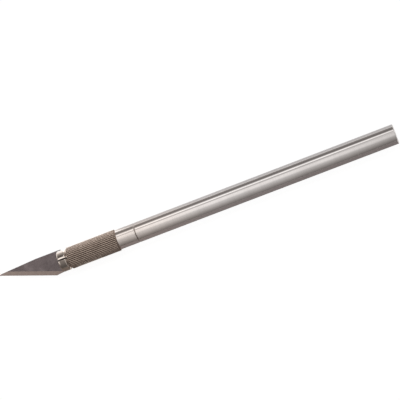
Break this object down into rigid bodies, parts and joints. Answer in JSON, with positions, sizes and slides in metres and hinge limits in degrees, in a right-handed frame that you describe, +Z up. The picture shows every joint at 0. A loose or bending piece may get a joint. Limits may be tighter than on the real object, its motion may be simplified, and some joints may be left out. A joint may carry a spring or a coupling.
{
  "type": "craft scalpel",
  "caption": "Slim round craft knife: a pointed, bevelled blade clamped in a split collet by a knurled sleeve on a plain metal barrel.",
  "frame": {"origin": "under the middle of the knife's whole length, on the surface that it lies on", "axes": "+X along the knife from the blade's tip to the butt, +Y from the cutting edge to the spine, +Z up, square to the blade's faces"},
  "size_m": [0.1666, 0.0092, 0.0087],
  "materials": {
    "turned_aluminium": "fine turned, satin",
    "knurled_metal": "straight knurl, warm grey plating",
    "plated_steel": "polished nickel plating",
    "blade_steel": "dark rolled faces with a ground bevel"
  },
  "bodies": {
    "handle": {"handle_barrel": "turned_aluminium", "threaded_ferrule": "turned_aluminium"},
    "sleeve": {"knurled_sleeve": "knurled_metal"},
    "collet": {"collet_stem": "plated_steel"},
    "jaw_top_spine": {"top_spine_jaw": "plated_steel"},
    "jaw_top_edge": {"top_edge_jaw": "plated_steel"},
    "jaw_bottom_spine": {"bottom_spine_jaw": "plated_steel"},
    "jaw_bottom_edge": {"bottom_edge_jaw": "plated_steel"},
    "blade": {"blade": "blade_steel"}
  },
  "joints": [
    {"name": "sleeve_turn", "type": "hinge", "parent": "handle", "child": "sleeve", "pos_m": [-0.03265, 0, 0.00438], "axis": [-1, 0, 0], "range_deg": [0, 630]},
    {"name": "collet_feed", "type": "slide", "parent": "sleeve", "child": "collet", "axis": [-1, 0, 0], "range_m": [0, 0.00122]},
    {"name": "jaw_top_spine_spring", "type": "hinge", "parent": "collet", "child": "jaw_top_spine", "pos_m": [-0.03648, 0.0013, 0.00568], "axis": [0, 0.7071, -0.7071], "range_deg": [0, 0.7]},
    {"name": "jaw_top_edge_spring", "type": "hinge", "parent": "collet", "child": "jaw_top_edge", "pos_m": [-0.03648, -0.0013, 0.00568], "axis": [0, 0.7071, 0.7071], "range_deg": [0, 0.7]},
    {"name": "jaw_bottom_spine_spring", "type": "hinge", "parent": "collet", "child": "jaw_bottom_spine", "pos_m": [-0.03648, 0.0013, 0.00308], "axis": [0, -0.7071, -0.7071], "range_deg": [0, 0.7]},
    {"name": "jaw_bottom_edge_spring", "type": "hinge", "parent": "collet", "child": "jaw_bottom_edge", "pos_m": [-0.03648, -0.0013, 0.00308], "axis": [0, -0.7071, 0.7071], "range_deg": [0, 0.7]},
    {"name": "blade_pull", "type": "slide", "parent": "collet", "child": "blade", "axis": [-1, 0, 0], "range_m": [0, 0.024]}
  ],
  "couplings": [
    {"joint": "sleeve_turn", "follows": "collet_feed", "rad_per_m": 8975},
    {"joint": "jaw_top_spine_spring", "follows": "collet_feed", "rad_per_m": 9.87},
    {"joint": "jaw_top_edge_spring", "follows": "collet_feed", "rad_per_m": 9.87},
    {"joint": "jaw_bottom_spine_spring", "follows": "collet_feed", "rad_per_m": 9.87},
    {"joint": "jaw_bottom_edge_spring", "follows": "collet_feed", "rad_per_m": 9.87}
  ]
}
